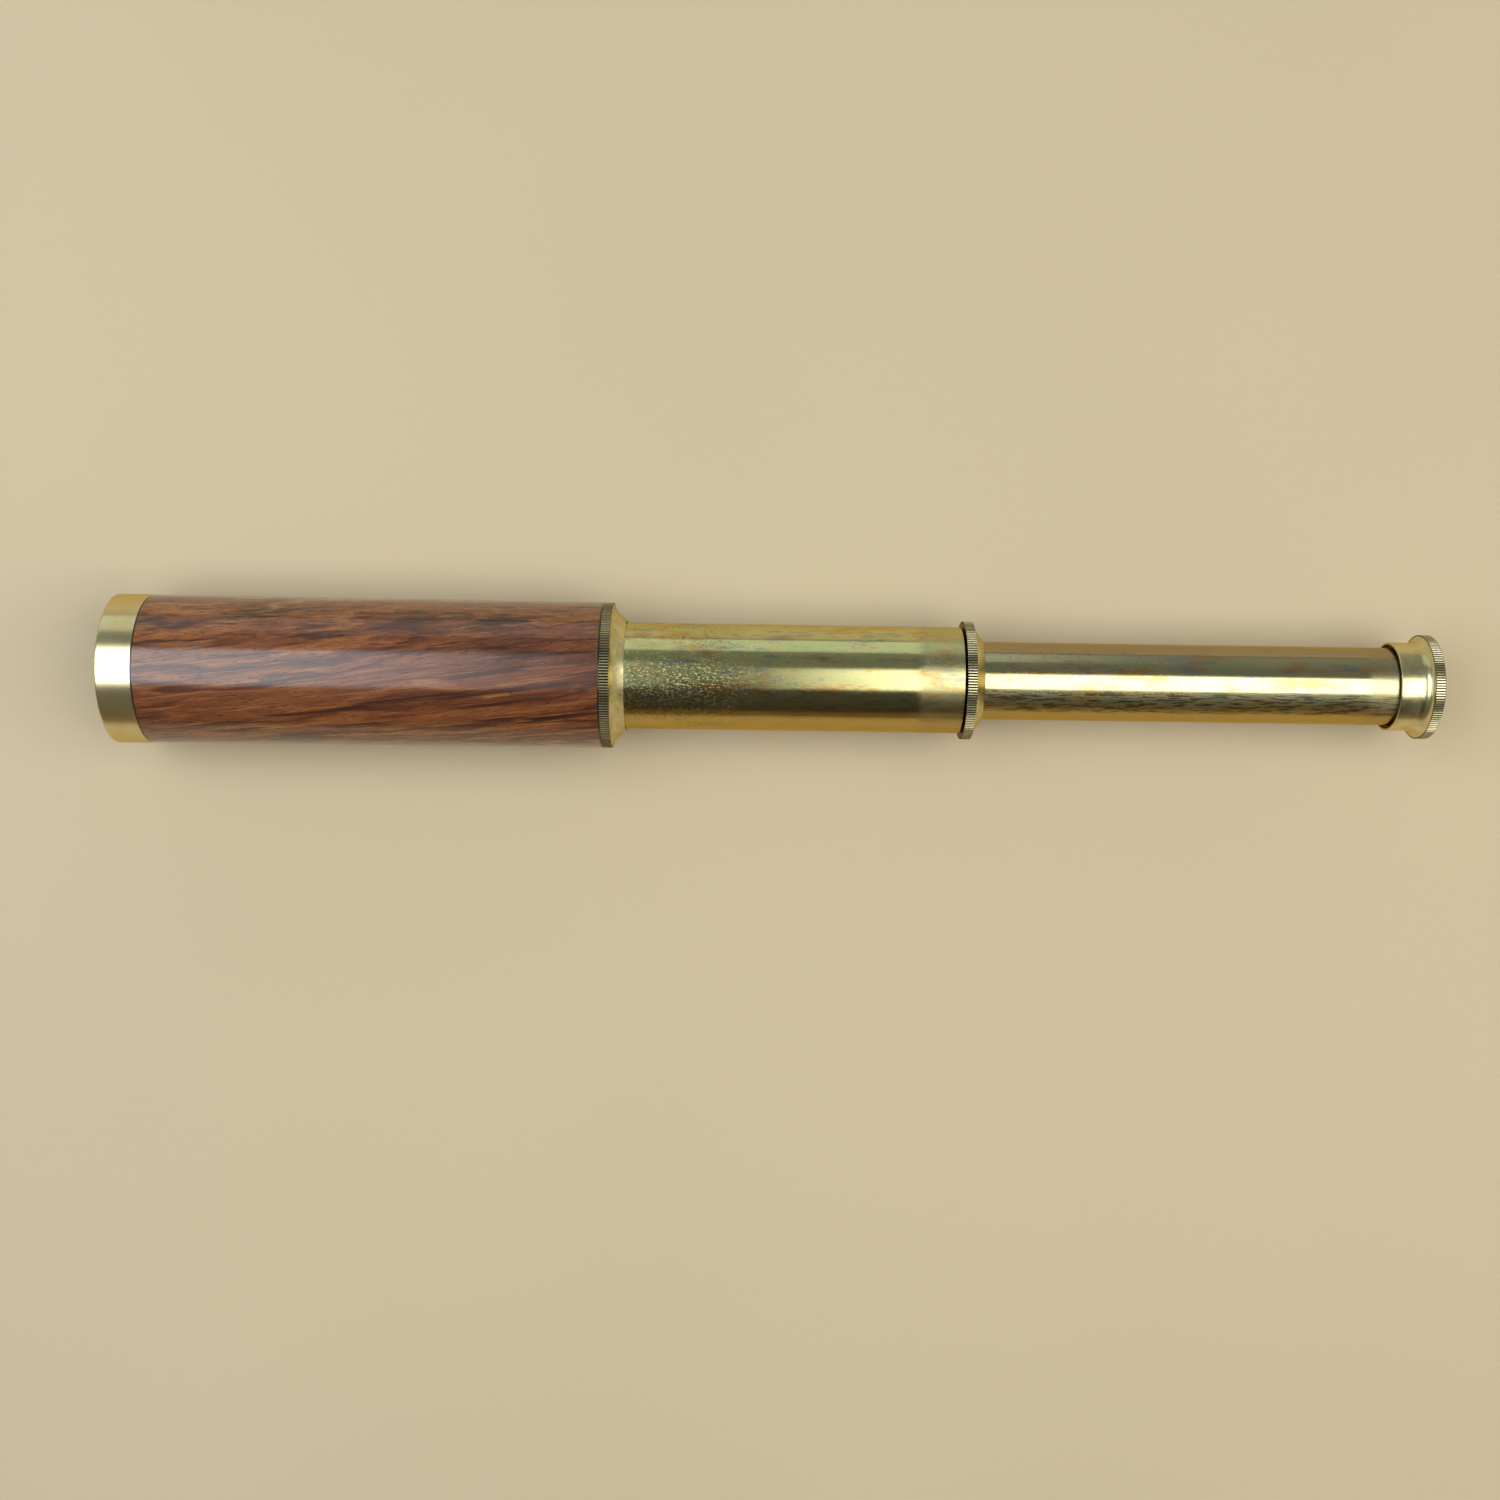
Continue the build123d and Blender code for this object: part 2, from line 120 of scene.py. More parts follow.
def rounded(corners, steps=4):
    """A closed section from (station, radius, rounding) corners. Each side of a rounding
    gets a support point, which keeps the shading of the long faces flat."""
    section = []
    for index, (station, radius, rounding) in enumerate(corners):
        corner = (station, radius)
        if not rounding:
            section.append(corner)
            continue
        before = corners[index - 1][:2]
        after = corners[(index + 1) % len(corners)][:2]
        into = between(corner, before, rounding / math.dist(corner, before))
        out_of = between(corner, after, rounding / math.dist(corner, after))
        section.append(between(corner, before, 1.5 * rounding / math.dist(corner, before)))
        section += bend(into, corner, out_of, steps)
        section.append(between(corner, after, 1.5 * rounding / math.dist(corner, after)))
    return section


def bend(start, corner, end, steps=16):
    """A smooth curve that leaves start towards corner, and comes to end from it."""
    points = []
    for step in range(steps + 1):
        share = step / steps
        points.append(between(between(start, corner, share), between(corner, end, share), share))
    return points


def knurl(start, end, crest, ribs):
    """A reshaping that cuts straight V grooves into the crest radius between two stations."""

    def reshape(station, radius, angle):
        if not start <= station <= end:
            return radius
        share = angle * ribs / TURN % 1
        from_crest = min(share, 1 - share)
        into_groove = max(0.0, from_crest - RIB_CREST_SHARE / 2) / (0.5 - RIB_CREST_SHARE / 2)
        odd_rib = math.sin(7.3 * round(angle * ribs / TURN))
        depth = RIB_DEPTH * (1 - RIB_UNEVENNESS * (1 - odd_rib))
        return min(radius, crest - depth * into_groove)

    return reshape


def turn_mesh(section, segments, reshape=None):
    """Turns a closed section round the axis into a closed mesh."""
    mesh = bpy.data.meshes.new("turned")
    vertices = []
    for segment in range(segments):
        angle = TURN * segment / segments
        for station, radius in section:
            if reshape:
                radius = reshape(station, radius, angle)
            vertices.append(
                (station * MM, radius * math.sin(angle) * MM, radius * math.cos(angle) * MM)
            )
    count = len(section)
    faces = []
    for segment in range(segments):
        here = segment * count
        there = (segment + 1) % segments * count
        for point in range(count):
            following = (point + 1) % count
            if section[point][1] == 0 and section[following][1] == 0:
                continue
            faces.append((here + point, here + following, there + following, there + point))
    mesh.from_pydata(vertices, [], faces)
    edit = bmesh.new()
    edit.from_mesh(mesh)
    bmesh.ops.remove_doubles(edit, verts=edit.verts, dist=1e-7)
    bmesh.ops.recalc_face_normals(edit, faces=edit.faces)
    edit.to_mesh(mesh)
    edit.free()
    for polygon in mesh.polygons:
        polygon.use_smooth = True
    mesh.set_sharp_from_angle(angle=SHARP_ANGLE)
    return mesh


rebuilt = set()


def piece(node, body, material, section, segments=SEGMENTS, reshape=None):
    """A turned piece that stands for one CAD node."""
    mesh = turn_mesh(section, segments, reshape)
    mesh.materials.append(material)
    made = bpy.data.objects.new(f"fine_{node}", mesh)
    bpy.context.scene.collection.objects.link(made)
    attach(made, body)
    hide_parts(node)
    rebuilt.add(node)


# ---------------------------------------------------------------- node helpers


class Nodes:
    """A node tree, with one short call for each kind of node."""

    def __init__(self, owner):
        self.owner = owner
        owner.use_nodes = True
        self.tree = owner.node_tree
        self.tree.nodes.clear()

    def node(self, kind, **settings):
        made = self.tree.nodes.new(kind)
        for name, value in settings.items():
            setattr(made, name, value)
        return made

    def feed(self, socket, value):
        if isinstance(value, bpy.types.NodeSocket):
            self.tree.links.new(value, socket)
        else:
            socket.default_value = value

    def math(self, operation, *values, clamp=False):
        made = self.node("ShaderNodeMath", operation=operation, use_clamp=clamp)
        for socket, value in zip(made.inputs, values):
            self.feed(socket, value)
        return made.outputs[0]

    def vector(self, x, y, z):
        made = self.node("ShaderNodeCombineXYZ")
        for socket, value in zip(made.inputs, (x, y, z)):
            self.feed(socket, value)
        return made.outputs[0]

    def noise(self, vector, scale=1.0, detail=3.0, roughness=0.5, distortion=0.0):
        made = self.node("ShaderNodeTexNoise")
        self.feed(made.inputs["Vector"], vector)
        made.inputs["Scale"].default_value = scale
        made.inputs["Detail"].default_value = detail
        made.inputs["Roughness"].default_value = roughness
        made.inputs["Distortion"].default_value = distortion
        return made.outputs[0]

    def span(self, value, low, high, to_low=0.0, to_high=1.0):
        """Follows value smoothly from to_low at low to to_high at high, and stops there."""
        made = self.node("ShaderNodeMapRange", interpolation_type="SMOOTHSTEP")
        for socket, given in zip(made.inputs, (value, low, high, to_low, to_high)):
            self.feed(socket, given)
        return made.outputs[0]

    def mix(self, share, a, b):
        made = self.node("ShaderNodeMix", data_type="RGBA")
        self.feed(made.inputs[0], share)
        self.feed(made.inputs[6], rgba(a))
        self.feed(made.inputs[7], rgba(b))
        return made.outputs[2]

    def ramp(self, value, *stops):
        made = self.node("ShaderNodeValToRGB")
        self.feed(made.inputs[0], value)
        elements = made.color_ramp.elements
        while len(elements) < len(stops):
            elements.new(0.5)
        for element, (position, colour) in zip(elements, stops):
            element.position = position
            element.color = rgba(colour)
        return made.outputs[0]


class Shading(Nodes):
    """A new material. place is in millimetres, station is the place along the telescope, and
    radius and angle go round it, with the angle 0 on top and rising towards +Y."""

    def __init__(self, name):
        super().__init__(bpy.data.materials.new(name))
        scaled = self.node("ShaderNodeVectorMath", operation="SCALE")
        self.feed(scaled.inputs["Vector"], self.node("ShaderNodeTexCoord").outputs["Object"])
        scaled.inputs["Scale"].default_value = 1 / MM
        self.place = scaled.outputs["Vector"]
        split = self.node("ShaderNodeSeparateXYZ")
        self.feed(split.inputs[0], self.place)
        self.station, self.y, self.z = split.outputs
        across = self.math("MULTIPLY", self.y, self.y)
        self.radius = self.math("SQRT", self.math("MULTIPLY_ADD", self.z, self.z, across))
        self.angle = self.math("ARCTAN2", self.y, self.z)

    def stretched(self, scale, turn=(0, 0, 0), shift=(0, 0, 0)):
        """The place turned, then scaled along each axis, for patterns that run one way."""
        turned = self.node("ShaderNodeMapping", vector_type="POINT")
        self.feed(turned.inputs["Vector"], self.place)
        turned.inputs["Rotation"].default_value = [math.radians(degrees) for degrees in turn]
        turned.inputs["Location"].default_value = shift
        scaled = self.node("ShaderNodeVectorMath", operation="MULTIPLY")
        self.feed(scaled.inputs[0], turned.outputs[0])
        scaled.inputs[1].default_value = scale
        return scaled.outputs[0]

    def bump(self, height, depth, normal=None):
        """Relief of a depth in millimetres, on top of another normal if one is given."""
        made = self.node("ShaderNodeBump")
        made.inputs["Strength"].default_value = 1.0
        made.inputs["Distance"].default_value = depth * MM
        self.feed(made.inputs["Height"], height)
        if normal is not None:
            self.feed(made.inputs["Normal"], normal)
        return made.outputs[0]

    def principled(self, **inputs):
        """Ends the material. An input's name is its socket's, with _ for a space."""
        shader = self.node("ShaderNodeBsdfPrincipled")
        for name, value in inputs.items():
            self.feed(shader.inputs[name.replace("_", " ")], value)
        output = self.node("ShaderNodeOutputMaterial")
        self.tree.links.new(shader.outputs[0], output.inputs["Surface"])
        return self.owner


def rgba(colour):
    """A colour with its alpha. Sockets pass through."""
    if isinstance(colour, bpy.types.NodeSocket) or len(colour) == 4:
        return colour
    return (*colour, 1.0)


# ---------------------------------------------------------------- brass

CLEAN_BRASS = (0.76, 0.68, 0.42)
WARM_BRASS = (0.72, 0.60, 0.33)
GREEN_BRASS = (0.58, 0.55, 0.29)
PALE_BRASS = (0.86, 0.82, 0.62)
BROWN_TARNISH = (0.36, 0.22, 0.075)
DARK_TARNISH = (0.075, 0.070, 0.035)
ORANGE_STAIN = (0.62, 0.34, 0.10)
BLUE_STAIN = (0.34, 0.39, 0.38)
GREY_STAIN = (0.36, 0.28, 0.19)
# painted reflection: the brown of the floor, laid along a draw's -Y side
FLOOR_REFLECTION_BROWN = (0.50, 0.335, 0.085)
# dirt, and also painted shade on a draw's end faces and inside its bore
DIRT_AND_PAINTED_SHADE = (0.030, 0.024, 0.013)
# painted shade: black for a narrow gap between two pieces
PAINTED_GAP_SHADE = (0.012, 0.010, 0.006)
GRAZING_TINT = (0.85, 0.70, 0.42, 1.0)  # brass keeps its colour at a flat angle
STREAK_ANGLE = -0.56  # in radians from the top: a draw's tarnish is eaten into streaks there


def turning_marks(shade, fineness=5.0):
    """Fine rings left by the lathe: they follow the station and the radius, hardly the angle."""
    rings = shade.vector(shade.station, shade.radius, shade.math("MULTIPLY", shade.angle, 0.02))
    return shade.noise(rings, scale=fineness, detail=4, roughness=0.6)


def hairlines(shade, turn):
    """Thin scratches in one direction, few and broken up."""
    lines = shade.noise(shade.stretched((0.12, 3.2, 3.2), turn=turn), scale=1.0, detail=2)
    return shade.span(lines, 0.66, 0.72)


def metal(shade, colour, roughness, normal):
    """Ends a brass material."""
    return shade.principled(
        Base_Color=colour,
        Metallic=1.0,
        Roughness=roughness,
        Normal=normal,
        Specular_Tint=GRAZING_TINT,
    )


def polished_brass():
    shade = Shading("polished_brass")
    clouds = shade.noise(shade.place, scale=0.09, detail=4, distortion=0.4)
    marks = turning_marks(shade)
    colour = shade.mix(shade.span(clouds, 0.35, 0.7), CLEAN_BRASS, WARM_BRASS)
    handled = shade.noise(shade.place, scale=0.35, detail=5, roughness=0.65)
    colour = shade.mix(shade.span(handled, 0.50, 0.75, 0.0, 0.45), colour, GREEN_BRASS)
    spots = shade.noise(shade.place, scale=1.4, detail=2)
    colour = shade.mix(shade.span(spots, 0.70, 0.76, 0.0, 0.55), colour, BROWN_TARNISH)
    scratches = hairlines(shade, turn=(0, 0, 35))
    roughness = shade.math("MULTIPLY_ADD", marks, 0.08, 0.10)
    roughness = shade.math("MULTIPLY_ADD", handled, 0.12, roughness)
    normal = shade.bump(marks, 0.0035)
    normal = shade.bump(scratches, -0.002, normal)
    return metal(shade, colour, roughness, normal)


def knurled_brass(name, crest, grime, gap_end=0.0):
    """Turned brass with a knurl whose grooves hold dirt. crest is the knurl's radius and
    grime, from 0 to 1, is how dull the piece has gone. Up to the station gap_end it is
    painted black: painted shade in the narrow gap beside the next piece."""
    shade = Shading(name)
    below_crest = shade.math("SUBTRACT", crest, shade.radius)
    knurl_zone = shade.span(below_crest, RIB_DEPTH + 0.15, RIB_DEPTH + 0.02)
    clouds = shade.noise(shade.place, scale=0.25, detail=4)
    colour = shade.mix(shade.span(clouds, 0.3, 0.7), CLEAN_BRASS, GREEN_BRASS)
    pale = shade.math("MULTIPLY", knurl_zone, 0.7 * (1 - grime))
    colour = shade.mix(pale, colour, PALE_BRASS)
    colour = shade.mix(shade.math("MULTIPLY", knurl_zone, 0.7 * grime), colour, DARK_TARNISH)
    dull = shade.noise(shade.place, scale=0.6, detail=5, roughness=0.7)
    colour = shade.mix(shade.span(dull, 0.75 - 0.4 * grime, 0.9, 0.0, 0.85), colour, BROWN_TARNISH)
    spots = shade.noise(shade.place, scale=1.1, detail=3, roughness=0.6)
    pits = shade.span(spots, 0.74 - 0.08 * grime, 0.80 - 0.08 * grime)
    colour = shade.mix(shade.math("MULTIPLY", pits, 0.8), colour, DIRT_AND_PAINTED_SHADE)
    groove = shade.math("MULTIPLY", shade.span(below_crest, 0.02, 0.12), knurl_zone)
    colour = shade.mix(shade.math("MULTIPLY", groove, 0.92), colour, DIRT_AND_PAINTED_SHADE)
    # Painted shade: black in the narrow gap beside the next piece.
    in_shaded_gap = shade.math("LESS_THAN", shade.station, gap_end)
    colour = shade.mix(in_shaded_gap, colour, PAINTED_GAP_SHADE)
    marks = turning_marks(shade, fineness=6.0)
    roughness = shade.math("MULTIPLY_ADD", dull, 0.25, 0.10 + 0.08 * grime)
    roughness = shade.math("MULTIPLY_ADD", groove, 0.30, roughness, clamp=True)
    normal = shade.bump(marks, 0.004)
    normal = shade.bump(pits, -0.02, normal)
    return metal(shade, colour, roughness, normal)


def draw_brass(
    name, outer_radius, base, speckle, speckle_end, streaks, dull_back, worn_start, shift
):
    """A drawn tube that has tarnished unevenly, and is painted browner along its -Y side, a painted
    reflection of the floor. speckle, streaks and dull_back, from 0 to 1, are how much of each kind
    of tarnish it has: most speckle is in front of the station speckle_end, and dull_back is on the
    +Y side. Behind the station worn_start the tube is dull from being gripped. shift moves the
    pattern, so that two tubes differ."""
    shade = Shading(name)
    greener = tuple(channel * share for channel, share in zip(base, (0.84, 0.98, 0.95)))
    along = shade.noise(shade.stretched((0.06, 0.7, 0.7), shift=shift), detail=5, roughness=0.6)
    colour = shade.mix(shade.span(along, 0.35, 0.65), base, greener)
    wide = shade.stretched((0.07, 0.22, 0.22), shift=shift)
    patches = shade.noise(wide, detail=7, roughness=0.75)
    colour = shade.mix(shade.span(patches, 0.50, 0.64, 0.0, 0.75), colour, ORANGE_STAIN)
    elsewhere = shade.stretched((0.08, 0.30, 0.30), shift=(31, 7, 3))
    blues = shade.noise(elsewhere, detail=7, roughness=0.75)
    colour = shade.mix(shade.span(blues, 0.52, 0.64, 0.0, 0.8), colour, BLUE_STAIN)
    at_back = shade.math("MULTIPLY", shade.span(shade.angle, 0.55, 0.95), dull_back)
    colour = shade.mix(at_back, colour, GREY_STAIN)

    # Painted reflection of the floor: the -Y side is painted browner, ragged along the tube.
    floor_reflection_mask = shade.math("MULTIPLY_ADD", shade.math("SUBTRACT", along, 0.5), 0.9, shade.angle)
    colour = shade.mix(shade.span(floor_reflection_mask, -0.45, -0.80, 0.0, 0.80), colour, FLOOR_REFLECTION_BROWN)

    grains = shade.noise(shade.stretched((1.1, 2.2, 2.2), shift=shift), detail=5, roughness=0.75)
    clear = shade.noise(shade.stretched((0.03, 0.12, 0.12), shift=(5, 11, 17)), detail=3)
    grain = shade.math("MULTIPLY", shade.span(grains, 0.49, 0.60), shade.span(clear, 0.36, 0.54))
    in_front = shade.span(shade.station, speckle_end + 12, speckle_end - 12)
    amount = shade.math("MULTIPLY", shade.math("MAXIMUM", in_front, 0.25), speckle)
    grain = shade.math("MULTIPLY", grain, amount)
    colour = shade.mix(shade.math("MULTIPLY", grain, 0.6), colour, DARK_TARNISH)
    flecks = shade.noise(shade.stretched((1.2, 2.4, 2.4), shift=(3, 9, 1)), detail=4, roughness=0.7)
    fleck = shade.math("MULTIPLY", shade.span(flecks, 0.50, 0.62), amount)

    runs = shade.noise(shade.stretched((0.20, 1.7, 1.7), shift=shift), detail=5, roughness=0.65)
    from_streaks = shade.math("ABSOLUTE", shade.math("SUBTRACT", shade.angle, STREAK_ANGLE))
    eaten = shade.math("MULTIPLY", shade.span(from_streaks, 0.40, 0.20), streaks)
    run = shade.math("MULTIPLY", shade.span(runs, 0.49, 0.55), eaten)
    colour = shade.mix(shade.math("MULTIPLY", run, 0.8), colour, DARK_TARNISH)

    ragged_station = shade.math("MULTIPLY_ADD", patches, 6.0, shade.station)
    worn = shade.span(ragged_station, worn_start + 2, worn_start + 5)
    colour = shade.mix(shade.math("MULTIPLY", worn, 0.25), colour, GREY_STAIN)
    # Painted shade: off the outer surface, on the end faces and in the bore, the tube is painted
    # near-black.
    on_outside = shade.span(shade.radius, outer_radius - 0.35, outer_radius - 0.15)
    colour = shade.mix(on_outside, DIRT_AND_PAINTED_SHADE, colour)

    fine = shade.noise(shade.stretched((0.5, 6.0, 6.0)), detail=3)
    roughness = shade.math("MULTIPLY_ADD", fine, 0.08, 0.07)
    roughness = shade.math("MULTIPLY_ADD", fleck, 0.22, roughness)
    roughness = shade.math("MULTIPLY_ADD", eaten, 0.22, roughness)
    roughness = shade.math("MULTIPLY_ADD", worn, 0.16, roughness, clamp=True)
    normal = shade.bump(fine, 0.0012)
    normal = shade.bump(grains, 0.003, normal)
    normal = shade.bump(run, -0.006, normal)
    return metal(shade, colour, roughness, normal)


def blackened_brass():
    shade = Shading("blackened_brass")
    marks = turning_marks(shade, fineness=3.0)
    worn = shade.noise(shade.place, scale=0.5, detail=5, roughness=0.7)
    colour = shade.ramp(worn, (0.3, (0.010, 0.009, 0.008)), (0.75, (0.035, 0.030, 0.024)))
    roughness = shade.math("MULTIPLY_ADD", marks, 0.2, 0.45)
    normal = shade.bump(marks, 0.006)
    return shade.principled(Base_Color=colour, Metallic=0.6, Roughness=roughness, Normal=normal)


# ---------------------------------------------------------------- wood and glass


DARK_STREAK = (0.020, 0.007, 0.005)
RED_FIBRE = (0.060, 0.016, 0.008)
GOLD_STREAK = (0.42, 0.18, 0.055)
PORE_BLACK = (0.012, 0.005, 0.003)
JOINT_BLACK = (0.012, 0.006, 0.004)


def rosewood(front, rear):
    """Lacquered wood, dark where it meets the brass at the stations front and rear."""
    shade = Shading("rosewood")
    turn = (4, 2, -7)  # the grain runs a little askew to the axis
    grown = shade.stretched((1, 1, 1), turn=turn)
    split = shade.node("ShaderNodeSeparateXYZ")
    shade.feed(split.inputs[0], grown)
    along, across, through = split.outputs
    warp = shade.noise(shade.stretched((0.014, 0.06, 0.06), turn=turn), detail=4, roughness=0.55)
    layer = shade.math("MULTIPLY", through, 0.45)
    layer = shade.math("MULTIPLY_ADD", across, 0.8, layer)
    layer = shade.math("MULTIPLY_ADD", warp, 30.0, layer)
    drawn_out = shade.vector(shade.math("MULTIPLY", along, 0.012), layer, 0.0)
    bands = shade.noise(drawn_out, scale=0.28, detail=4, roughness=0.5)
    colour = shade.ramp(
        bands,
        (0.34, (0.040, 0.011, 0.007)),
        (0.42, (0.100, 0.027, 0.011)),
        (0.50, (0.185, 0.054, 0.018)),
        (0.59, (0.270, 0.090, 0.026)),
        (0.70, (0.380, 0.165, 0.050)),
    )
    streaks = shade.noise(
        shade.stretched((0.013, 0.55, 0.55), turn=turn, shift=(0, 3, 1)),
        detail=4,
        roughness=0.5,
    )
    colour = shade.mix(shade.span(streaks, 0.54, 0.64, 0.0, 0.80), colour, DARK_STREAK)
    fibres = shade.noise(shade.stretched((0.045, 2.8, 2.8), turn=turn), detail=3, roughness=0.55)
    colour = shade.mix(shade.span(fibres, 0.45, 0.65, 0.0, 0.55), colour, RED_FIBRE)
    gold = shade.noise(shade.stretched((0.035, 1.3, 1.3), turn=turn, shift=(7, 1, 4)), detail=3)
    colour = shade.mix(shade.span(gold, 0.55, 0.72, 0.0, 0.40), colour, GOLD_STREAK)
    pores = shade.noise(shade.stretched((0.40, 4.6, 4.6), turn=turn, shift=(9, 2, 5)), detail=1)
    pore = shade.span(pores, 0.64, 0.69)
    colour = shade.mix(shade.math("MULTIPLY", pore, 0.85), colour, PORE_BLACK)
    at_front = shade.span(shade.station, front + 0.55, front + 0.25)
    at_rear = shade.span(shade.station, rear - 0.55, rear - 0.25)
    colour = shade.mix(shade.math("MAXIMUM", at_front, at_rear), colour, JOINT_BLACK)
    ripple = shade.noise(shade.stretched((0.10, 0.35, 0.35), turn=turn), detail=3)
    normal = shade.bump(ripple, 0.02)
    normal = shade.bump(pore, -0.006, normal)
    normal = shade.bump(fibres, 0.0025, normal)
    return shade.principled(
        Base_Color=colour,
        Roughness=0.5,
        Specular_IOR_Level=0.15,
        Normal=normal,
        Coat_Weight=1.0,
        Coat_Roughness=0.08,
        Coat_IOR=1.62,
        Coat_Normal=normal,
    )


def optical_glass():
    shade = Shading("optical_glass")
    smear = shade.noise(shade.place, scale=0.25, detail=5, roughness=0.6, distortion=0.8)
    roughness = shade.span(smear, 0.4, 0.8, 0.0, 0.035)
    return shade.principled(
        Base_Color=(0.97, 0.99, 0.97, 1.0),
        Roughness=roughness,
        IOR=1.52,
        Transmission_Weight=1.0,
    )


# ---------------------------------------------------------------- the barrel and its pieces

RECESS_RADIUS = 18.4
RECESS_DEPTH = 4.8
THREAD_RADIUS = 17.53  # where the ferrule, the wood and the collar meet the liner
LINER_BORE = 16.75
LINER_START = 6.97
WOOD_TAPER = 0.3
WOOD_WAVE = 0.006
WOOD_LOBE = 0.008

wood_start, wood_end = ends("wood_barrel")
wood_front_radius = outside("wood_barrel")
wood_rear_radius = wood_front_radius - WOOD_TAPER

brass = polished_brass()
barrel_radius = outside("objective_ferrule")
piece(
    "objective_ferrule",
    "barrel",
    brass,
    rounded(
        [
            (0, RECESS_RADIUS, 0.35),
            (0, barrel_radius, 0.55),
            (wood_start, barrel_radius, 0.12),
            (wood_start, THREAD_RADIUS, 0),
            (LINER_START, THREAD_RADIUS, 0),
            (LINER_START, LINER_BORE, 0),
            (RECESS_DEPTH, LINER_BORE, 0.1),
            (RECESS_DEPTH, RECESS_RADIUS, 0.12),
        ]
    ),
)


def hand_turned(station, radius, angle):
    """The slight unevenness of wood that was turned, sanded and lacquered by hand."""
    on_an_edge = not wood_start + 1 < station < wood_end - 1
    if on_an_edge or radius < wood_rear_radius - 0.5:
        return radius
    waves = math.sin(station * 0.19 + 1.0) + math.sin(station * 0.43 + 2 * angle)
    lobes = math.sin(2 * angle + 0.6) + 0.6 * math.sin(5 * angle + station * 0.07)
    return radius + WOOD_WAVE * waves + WOOD_LOBE * lobes


wood_length = wood_end - wood_start
wood_outside = []  # a point for every millimetre, for hand_turned to move
for step in range(1, int(wood_length)):
    radius = wood_front_radius - WOOD_TAPER * step / wood_length
    wood_outside.append((wood_start + step, radius, 0))
piece(
    "wood_barrel",
    "barrel",
    rosewood(wood_start, wood_end),
    rounded(
        [
            (wood_start, wood_front_radius, 0.25),
            *wood_outside,
            (wood_end, wood_rear_radius, 0.25),
            (wood_end, THREAD_RADIUS, 0),
            (wood_start, THREAD_RADIUS, 0),
        ]
    ),
    reshape=hand_turned,
)

COLLAR_KNURL_END = wood_end + 2.5
COVE_START_RADIUS = 18.9
COVE_CORNER = (134.9, 17.1)  # the hollow slope bends round this point
COVE_END_RADIUS = 14.9
COLLAR_BORE = 14.6
SLEEVE_SEAT_END = wood_end + 4.0
SLEEVE_SEAT_RADIUS = 15.28
COLLAR_RIBS = 164

collar_start, collar_end = ends("barrel_collar")
collar_crest = outside("barrel_collar")
collar_section = rounded(
    [
        (collar_end, COVE_END_RADIUS, 0),
        (collar_end, COLLAR_BORE, 0.08),
        (SLEEVE_SEAT_END, COLLAR_BORE, 0),
        (SLEEVE_SEAT_END, SLEEVE_SEAT_RADIUS, 0),
        (collar_start, SLEEVE_SEAT_RADIUS, 0),
        (collar_start, collar_crest - RIB_ROOT_DEPTH, 0),
        (collar_start, collar_crest, 0.12),
        (COLLAR_KNURL_END, collar_crest, 0.12),
        (COLLAR_KNURL_END, collar_crest - RIB_ROOT_DEPTH, 0),
        (COLLAR_KNURL_END, COVE_START_RADIUS, 0),
    ]
)
cove_start = (COLLAR_KNURL_END, COVE_START_RADIUS)
cove_end = (collar_end, COVE_END_RADIUS)
cove = bend(cove_start, COVE_CORNER, cove_end)[1:-1]
piece(
    "barrel_collar",
    "barrel",
    knurled_brass("barrel_collar_brass", collar_crest, grime=0.8),
    collar_section + cove,
    segments=COLLAR_RIBS * RIB_SAMPLES,
    reshape=knurl(collar_start, COLLAR_KNURL_END, collar_crest, COLLAR_RIBS),
)

# ---------------------------------------------------------------- the draws

DRAW_WALL = 0.6


def tube(start, end, radius, rear_rounding):
    """The section of a draw's tube."""
    bore = radius - DRAW_WALL
    return rounded(
        [
            (start, radius, 0.1),
            (end, radius, rear_rounding),
            (end, bore, 0),
            (start, bore, 0),
        ]
    )


draw_1_start, draw_1_end = ends("draw_1_tube")
draw_1_radius = outside("draw_1_tube")
piece(
    "draw_1_tube",
    "draw_1",
    draw_brass(
        "draw_1_brass",
        draw_1_radius,
        base=(0.70, 0.64, 0.32),
        speckle=0.85,
        speckle_end=draw_1_start + 60,
        streaks=0.2,
        dull_back=0.0,
        worn_start=draw_1_end - 12.5,
        shift=(0, 0, 0),
    ),
    tube(draw_1_start, draw_1_end, draw_1_radius, rear_rounding=0.25),
)

SPIGOT_RADIUS = 13.77
DRAW_1_FLANGE_END = 231.1
CONE_START_RADIUS = 14.6
CONE_END_RADIUS = 11.4
DRAW_1_COLLAR_BORE = 10.7
INNER_SEAT_END = 230.5
INNER_SEAT_RADIUS = 11.43
DRAW_1_RIBS = 138

spigot_start, cone_end = ends("draw_1_collar")
flange_start = draw_1_end + 0.3
flange_crest = outside("draw_1_collar")
piece(
    "draw_1_collar",
    "draw_1",
    knurled_brass("draw_1_collar_brass", flange_crest, grime=0.35, gap_end=flange_start + 0.02),
    rounded(
        [
            (spigot_start, INNER_SEAT_RADIUS, 0),
            (spigot_start, SPIGOT_RADIUS, 0.1),
            (flange_start, SPIGOT_RADIUS, 0),
            (flange_start, flange_crest - RIB_ROOT_DEPTH, 0),
            (flange_start, flange_crest, 0.12),
            (DRAW_1_FLANGE_END, flange_crest, 0.12),
            (DRAW_1_FLANGE_END, flange_crest - RIB_ROOT_DEPTH, 0),
            (DRAW_1_FLANGE_END, CONE_START_RADIUS, 0.06),
            (cone_end, CONE_END_RADIUS, 0.15),
            (cone_end, DRAW_1_COLLAR_BORE, 0.1),
            (INNER_SEAT_END, DRAW_1_COLLAR_BORE, 0),
            (INNER_SEAT_END, INNER_SEAT_RADIUS, 0),
        ]
    ),
    segments=DRAW_1_RIBS * RIB_SAMPLES,
    reshape=knurl(flange_start, DRAW_1_FLANGE_END, flange_crest, DRAW_1_RIBS),
)

